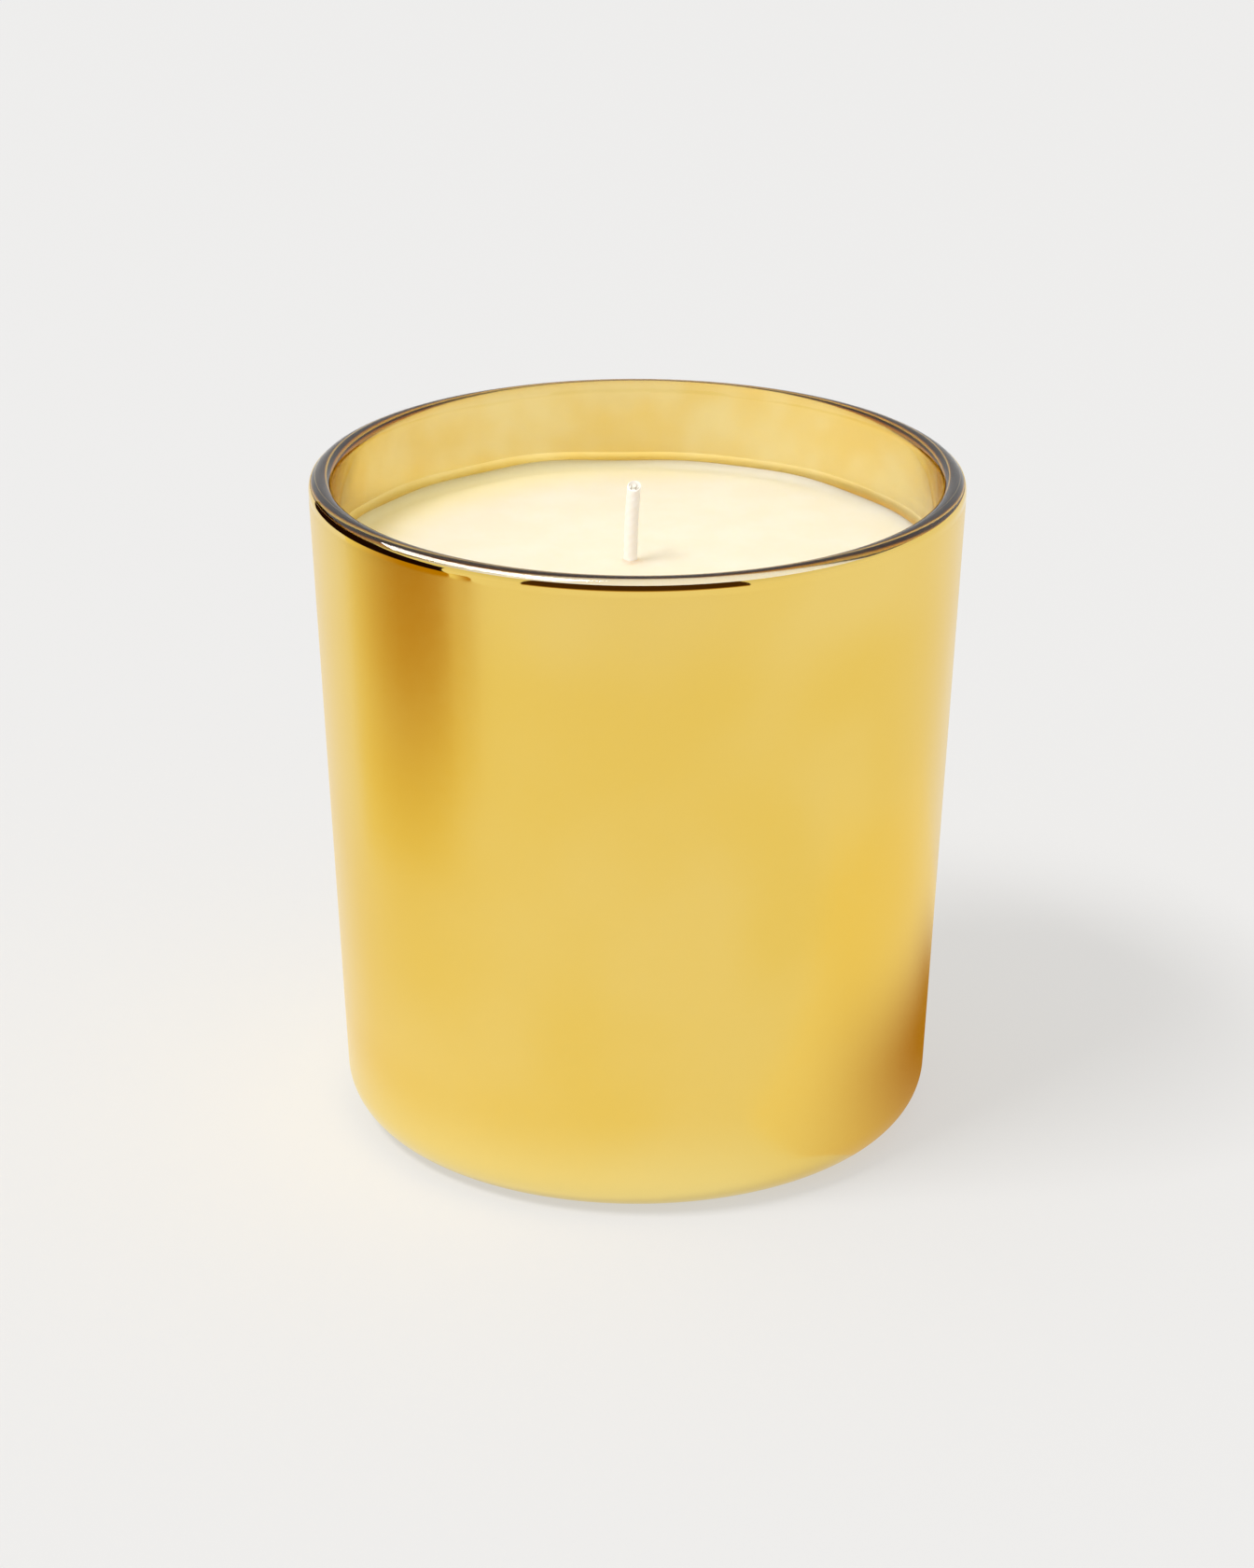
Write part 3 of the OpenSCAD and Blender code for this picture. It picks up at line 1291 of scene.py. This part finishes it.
@dataclass(frozen=True)
class WaxFill:
    """Poured wax round the wick and its sustainer.

    Attributes:
        glass: The tumbler that holds it.
        wick: The wick.
        top: Height of the wax's flat.
        overlap: Distance that it reaches into the glass, so that the two touch everywhere.
        climb_w: Width of the climb at the glass.
        climb_h: Height of the climb at the glass where it is lowest.
        climb_more: Extra height where it is highest.
        collar_w: Width of the climb at the wick.
        sticker_d: Diameter of the sticker under the sustainer.
        sticker_t: Thickness of the sticker.
        tab_d: Diameter of the sustainer's tab.
        tab_t: Thickness of the tab.
        neck_d: Outside diameter of the sustainer's neck.
    """

    glass: GlassTumbler
    wick: Wick
    top: float
    overlap: float = 0.03
    climb_w: float = 1.8
    climb_h: float = 0.35
    climb_more: float = 0.9
    collar_w: float = 0.9
    sticker_d: float = 18.0
    sticker_t: float = 1.0
    tab_d: float = 20.0
    tab_t: float = 0.3
    neck_d: float = 2.2

    def _climb(self, angle: Array) -> Array:
        """Height of the climb at the glass by angle, highest at the back left.

        Formula: a broad hump towards the back left, plus two small waves.

        Args:
            angle: Angle round the tumbler.

        Returns:
            The height.
        """
        hump = ease(0.5 + 0.5 * np.cos(angle - math.radians(140)))
        waves = 0.07 * np.sin(7 * angle + 0.4) + 0.05 * np.sin(13 * angle + 2.0)
        return self.climb_h + hump * (self.climb_more + 2 * waves) + 0.5 * waves

    def _relief(self, x: Array, y: Array) -> Array:
        """Unevenness of the set surface.

        Formula: rings round the wick that die out with distance, plus slow sines along two slanted
        directions.

        Args:
            x: Place along X.
            y: Place along Y.

        Returns:
            The height above the flat.
        """
        away = np.hypot(x - self.wick.line.x, y - self.wick.line.y)
        rings = 0.05 * np.cos(0.9 * away + 0.5 * np.sin(0.3 * x)) * np.exp(-away / 9)
        slow = 0.05 * np.sin(0.17 * x + 0.11 * y) + 0.04 * np.sin(0.13 * y - 0.21 * x + 1.1)
        return rings + slow

    def _top_rows(self) -> tuple[Array, Array, Array]:
        """Rows of the top from the glass in to the wick.

        Formula: the climb at the glass and the collar at the wick each fall off as the square of one less
        the share of their width, and the relief is added, calmed towards both.

        Returns:
            Radius, height and x, y centre of the rows, where radius and height are by row and column.
        """
        line, bore_r = self.wick.line, self.wick.wick_d / 2 - self.wick.relief
        angle = column_angles(AROUND)
        climb = self._climb(angle)
        edge = self.top + climb
        wall = self.glass.shape.bore(edge) + self.glass.unevenness(edge) + self.overlap
        rim = np.linspace(0, 1, 13)[:-1] ** 1.5
        middle = np.linspace(0, 1, 60)
        near = 1 - np.linspace(0, 1, 11)[1:]
        collar_out = bore_r + self.collar_w
        rim_r = wall - self.climb_w * rim[:, None]
        span = wall - self.climb_w - collar_out
        middle_r = collar_out + span * (1 - middle[:, None])
        near_r = bore_r + self.collar_w * near[:, None] + 0 * angle
        radius = np.vstack([rim_r, middle_r, near_r])
        share = np.concatenate([0 * rim, middle, near * 0 + 1])
        centre = ease(share)[:, None] * np.array([line.x, line.y])
        x = centre[:, 0:1] + radius * np.cos(angle)
        y = centre[:, 1:2] + radius * np.sin(angle)
        climbing = np.concatenate([(1 - rim) ** 2, 0 * middle, 0 * near])[:, None] * climb
        collar = np.concatenate([0 * rim, 0 * middle, (1 - near) ** 2])[:, None] * line.collar_h
        calm = np.concatenate([rim, 0 * middle + 1, near])[:, None]
        height = self.top + climbing + collar + self._relief(x, y) * calm
        return radius, height, centre

    def build(self) -> bpy.types.Object:
        """Builds the wax as one closed surface.

        Formula: rows of circles, whose centres move from the tumbler's axis to the wick's between the
        wall and the wick, run from the sticker out along the floor, up the wall, in over the top, and
        down the wick to the sustainer.

        Returns:
            The wax.
        """
        shape, line = self.glass.shape, self.wick.line
        floor = shape.floor_t
        tab_z = floor + self.sticker_t
        bend = arc(shape.cavity_centre, shape.cavity_r + self.overlap, -90, -shape.inner_lean, 16)
        top_r, top_z, top_centre = self._top_rows()
        rise = np.linspace(0, 1, 26)[1:-1, None]
        wall_z = bend[-1, 1] + (top_z[0] - bend[-1, 1]) * rise
        wall_r = shape.bore(wall_z) + self.glass.unevenness(wall_z) + self.overlap
        low_z = floor - self.overlap
        wick_r = self.wick.wick_d / 2 - self.wick.relief
        neck_r = self.neck_d / 2
        down = np.array([
            [wick_r, self.wick.neck_top], [neck_r, self.wick.neck_top], [neck_r, tab_z + 2 * self.tab_t],
            [self.tab_d / 2, tab_z + self.tab_t], [self.tab_d / 2, tab_z], [self.sticker_d / 2, tab_z],
            [self.sticker_d / 2, low_z],
        ])
        out = between(np.array([self.sticker_d / 2, low_z]), bend[0], 8)
        blank = np.ones(AROUND)
        radius = np.vstack([out[:, 0:1] * blank, bend[:, 0:1] * blank, wall_r, top_r, down[:, 0:1] * blank])
        height = np.vstack([out[:, 1:2] * blank, bend[:, 1:2] * blank, wall_z, top_z, down[:, 1:2] * blank])
        wick_centre = np.array([line.x, line.y])
        out_centre = (1 - np.linspace(0, 1, 9)[1:-1, None]) * wick_centre
        still = np.zeros((len(bend) + len(wall_z), 2))
        centre = np.vstack([out_centre, still, top_centre, np.ones((len(down), 1)) * wick_centre])
        points = turned(radius, height, centre)
        return make_piece("cream_wax", [Surface(points, Ends.LOOP)], [CandleWax().material()])


# ---------------------------------------------------------------- studio


@dataclass(frozen=True)
class Camera:
    """The camera, which looks down at the tumbler from the front.

    Attributes:
        distance: Distance from the tumbler's axis along -Y.
        height: Height above the floor.
        lens: Focal length on a 36 mm sensor.
        down: Angle that it looks down, in degrees.
        aside: Angle that it turns to the left, in degrees.
        roll: Roll about its own axis, in degrees.
    """

    distance: float = 582.0
    height: float = 281.1
    lens: float = 104.2
    down: float = 21.94
    aside: float = 0.13
    roll: float = 0.123

    def build(self) -> None:
        """Makes the camera, and makes it the scene's own."""
        data = bpy.data.cameras.new("camera")
        data.lens = self.lens
        data.clip_start = 0.01
        camera = bpy.data.objects.new("camera", data)
        bpy.context.scene.collection.objects.link(camera)
        turn = Matrix.Rotation(math.radians(self.aside), 4, "Z")
        tilt = Matrix.Rotation(math.radians(90 - self.down), 4, "X")
        roll = Matrix.Rotation(math.radians(self.roll), 4, "Z")
        place = Matrix.Translation(Vector((0, -self.distance, self.height)) * MM)
        camera.matrix_world = place @ turn @ tilt @ roll
        bpy.context.scene.camera = camera


@dataclass(frozen=True)
class Card:
    """A sheet of card that only mirrored and refracted light meets.

    It is pale outside the spans where it fades. A span is two shares of a side: the one where the card
    is pale and the one where it has its full tone.

    Attributes:
        name: Name of the sheet.
        corner: Its first corner.
        along: Its first side.
        up: Its second side.
        tone: Light that it gives.
        pale: Light that it gives where it is pale, or None for a card of one tone.
        fade_along: Span along its first side.
        fade_up: Span along its second side, near the first corner.
        fade_top: Span along its second side, at the far end.
    """

    name: str
    corner: Point
    along: Point
    up: Point
    tone: Colour
    pale: Colour | None = None
    fade_along: Span = (-1.0, 0.0)
    fade_up: Span = (-1.0, 0.0)
    fade_top: Span = (3.0, 2.0)

    def _share(self, shader: Shader, side: Point) -> Value:
        """Share of the way along a side, from 0 to 1.

        Formula: the dot product of the place and the side, over the side's length squared, less the
        same for the first corner.

        Args:
            shader: The material.
            side: The side.

        Returns:
            The share.
        """
        length = Vector(side)
        step = length / length.length_squared
        settings = {"operation": "DOT_PRODUCT"}
        node = shader.node("ShaderNodeVectorMath", settings, {0: shader.place(), 1: step})
        return Value(shader, node.outputs["Value"]) - Vector(self.corner).dot(step)

    def material(self) -> bpy.types.Material:
        """Makes the material.

        Returns:
            The material.
        """
        shader = Shader(self.name)
        light = self.tone
        if self.pale is not None:
            rise = self._share(shader, self.up)
            held = self._share(shader, self.along).stepped(*self.fade_along)
            held = held * rise.stepped(*self.fade_up) * rise.stepped(*self.fade_top)
            light = shader.mix(held, self.pale, self.tone)
        return shader.finished({
            "Base Color": BLACK,
            "Specular IOR Level": 0.0,
            "Emission Color": light,
            "Emission Strength": 1.0,
        })


@dataclass(frozen=True)
class Studio:
    """Pale floor in a bright room, with one softbox at the front left and dark cards round it.

    Attributes:
        floor: Colour of the floor.
        floor_glow: Light that the floor gives off by itself, as a light table does.
        floor_size: Length of each side of the floor.
        room_low: Light of the room at the horizon.
        room_high: Light of the room overhead.
        key_way: Direction from the tumbler to the softbox.
        key_far: Distance to the softbox.
        key_w: Width of the softbox.
        key_h: Height of the softbox.
        key_power: Power of the softbox, in watts.
        cards: The cards: the flag and its edge, the left card and the front card make the dark bands,
            the shade reflection card lies on the floor at the right and gives the gold a painted reflection
            of the warm shade there, the strip gives the lip its highlight, and the screen hides the strip
            from the back of the lip.
    """

    floor: Colour = (0.280, 0.279, 0.279)
    floor_glow: Colour = (0.510, 0.506, 0.500)
    floor_size: float = 12000.0
    room_low: Colour = (0.86, 0.855, 0.845)
    room_high: Colour = (0.62, 0.617, 0.61)
    key_way: Point = (-0.443, -0.286, 0.849)
    key_far: float = 15000.0
    key_w: float = 6000.0
    key_h: float = 3250.0
    key_power: float = 1500.0
    cards: tuple[Card, ...] = (
        Card(
            "flag", (-121, -75, 0), (0, 107, 0), (0, 0, 62),
            (0.48, 0.25, 0.0), (0.87, 0.80, 0.42), (1.1, 0.35), (-0.08, 0.8),
        ),
        Card(
            "flag_edge", (-121, -97, 0), (0, 22, 0), (0, 0, 62),
            (0.48, 0.25, 0.0), (0.87, 0.82, 0.60), (1.0, 0.0), (-0.08, 0.8),
        ),
        Card("left_card", (-121, -74, 62), (0, 175, 0), (0, 0, 56), (0.010, 0.003, 0.001)),
        Card(
            "front_card", (-250, -330, 20), (490, 0, 0), (0, 0, 320),
            (0.60, 0.40, 0.14), (0.06, 0.025, 0.004), (-1.0, 0.0), (0.22, 0.0),
        ),
        # Painted reflection of the warm shade on the floor at the right.
        Card(
            "shade_reflection_card", (30, -55, 1), (110, 0, 0), (0, 125, 0),
            (0.40, 0.18, 0.0), (0.90, 0.85, 0.66), (0.56, 0.2), (0.0, 0.55), (1.0, 0.66),
        ),
        Card("strip", (-2425, 408, 1414), (1560, -1630, 745), (603, 766, 415), (18.0, 18.0, 18.0)),
        Card("screen", (-70, 8, 140), (110, 0, 0), (0, 60, 0), (0.66, 0.655, 0.65)),
    )

    @staticmethod
    def _sheet(name: str, corners: Sequence[Point], material: bpy.types.Material) -> bpy.types.Object:
        """Makes a flat four-sided sheet that isn't part of the candle.

        Args:
            name: Its name.
            corners: Its corners, in order.
            material: Its material.

        Returns:
            The sheet.
        """
        mesh = bpy.data.meshes.new(name)
        mesh.from_pydata(np.array(corners) * MM, [], [(0, 1, 2, 3)])
        mesh.materials.append(material)
        sheet = bpy.data.objects.new(name, mesh)
        bpy.context.scene.collection.objects.link(sheet)
        return sheet

    def _lay_floor(self) -> None:
        """Lays the floor."""
        half = self.floor_size / 2
        tone = {
            "Base Color": self.floor,
            "Roughness": 1.0,
            "Specular IOR Level": 0.0,
            "Emission Color": self.floor_glow,
            "Emission Strength": 1.0,
        }
        corners = [(-half, -half, 0), (half, -half, 0), (half, half, 0), (-half, half, 0)]
        self._sheet("floor", corners, Shader("pale_floor").finished(tone))

    def _light_room(self) -> None:
        """Gives the room its light, which grows with height."""
        world = bpy.data.worlds.new("room")
        world.use_nodes = True
        tree = NodeTree(world.node_tree)
        way = tree.node("ShaderNodeTexCoord").outputs["Generated"]
        rise = tree.node("ShaderNodeSeparateXYZ", None, {0: way}).outputs["Z"]
        light = tree.mix(rise, self.room_low, self.room_high)
        background = tree.node("ShaderNodeBackground", None, {"Color": light}).outputs[0]
        tree.node("ShaderNodeOutputWorld", None, {"Surface": background})
        bpy.context.scene.world = world

    def _hang_key(self) -> None:
        """Hangs the softbox, facing the tumbler."""
        data = bpy.data.lights.new("key", "AREA")
        data.shape = "RECTANGLE"
        data.size = self.key_w * MM
        data.size_y = self.key_h * MM
        data.energy = self.key_power
        key = bpy.data.objects.new("key", data)
        bpy.context.scene.collection.objects.link(key)
        way = Vector(self.key_way).normalized()
        place = Matrix.Translation(way * self.key_far * MM)
        key.matrix_world = place @ way.to_track_quat("Z", "Y").to_matrix().to_4x4()

    def _stand_card(self, card: Card) -> None:
        """Puts up one card.

        Args:
            card: The card.
        """
        corner, along, up = (np.array(part, float) for part in (card.corner, card.along, card.up))
        corners = [corner, corner + along, corner + along + up, corner + up]
        sheet = self._sheet(card.name, corners, card.material())
        sheet.visible_camera = False
        sheet.visible_diffuse = False
        sheet.visible_shadow = False
        sheet.visible_transmission = False

    def build(self) -> None:
        """Sets up the floor, the lights and the number of reflections that they are followed through."""
        self._lay_floor()
        self._light_room()
        self._hang_key()
        for card in self.cards:
            self._stand_card(card)
        scene = bpy.context.scene
        scene.view_settings.view_transform = "Standard"
        scene.cycles.max_bounces = 24
        scene.cycles.glossy_bounces = 16
        scene.cycles.transmission_bounces = 24
        scene.cycles.sample_clamp_indirect = 0.7


# ---------------------------------------------------------------- assembly


def dress_nodes() -> None:
    """Gives the nodes that keep their own shape their finishes."""
    finishes = {
        "wick_sustainer": TinnedSteel(),
        "sustainer_sticker": FoamSticker(),
        "base_label": LabelPaper(),
    }
    for name, finish in finishes.items():
        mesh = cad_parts[name].data
        mesh.materials.clear()
        mesh.materials.append(finish.material())
        LOG.info("%s: dressed", name)


def main() -> None:
    """Builds the camera, the candle and the studio in order."""
    logging.basicConfig(level=logging.INFO, format="%(message)s")
    Camera().build()
    low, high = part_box("glass_tumbler")
    shape = TumblerShape(height=high.z / MM, rim_d=2 * high.x / MM)
    tab_low, tab_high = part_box("wick_sustainer")
    wax_top = shape.height - HEADSPACE
    middle = (tab_low + tab_high) / 2 / MM
    line = WickLine(x=middle.x, y=middle.y, foot=tab_low.z / MM, bend_z=wax_top + WickLine.collar_h)
    glass = GlassTumbler(shape)
    wick = Wick(line, neck_top=tab_high.z / MM)
    fit_piece(glass.build(), "clear_glass", "glass_tumbler")
    fit_piece(GoldCoat(shape).build(), "gold_coat", "gold_coat")
    fit_piece(WaxFill(glass, wick, wax_top).build(), "candle_wax", "wax_fill")
    fit_piece(wick.priming(), "priming_wax", "wick_priming")
    fit_piece(wick.braid(), "wick_cotton", "wick_braid")
    fit_piece(wick.core(), "wick_paper", "wick_core")
    dress_nodes()
    Studio().build()


if __name__ == "__main__":
    main()
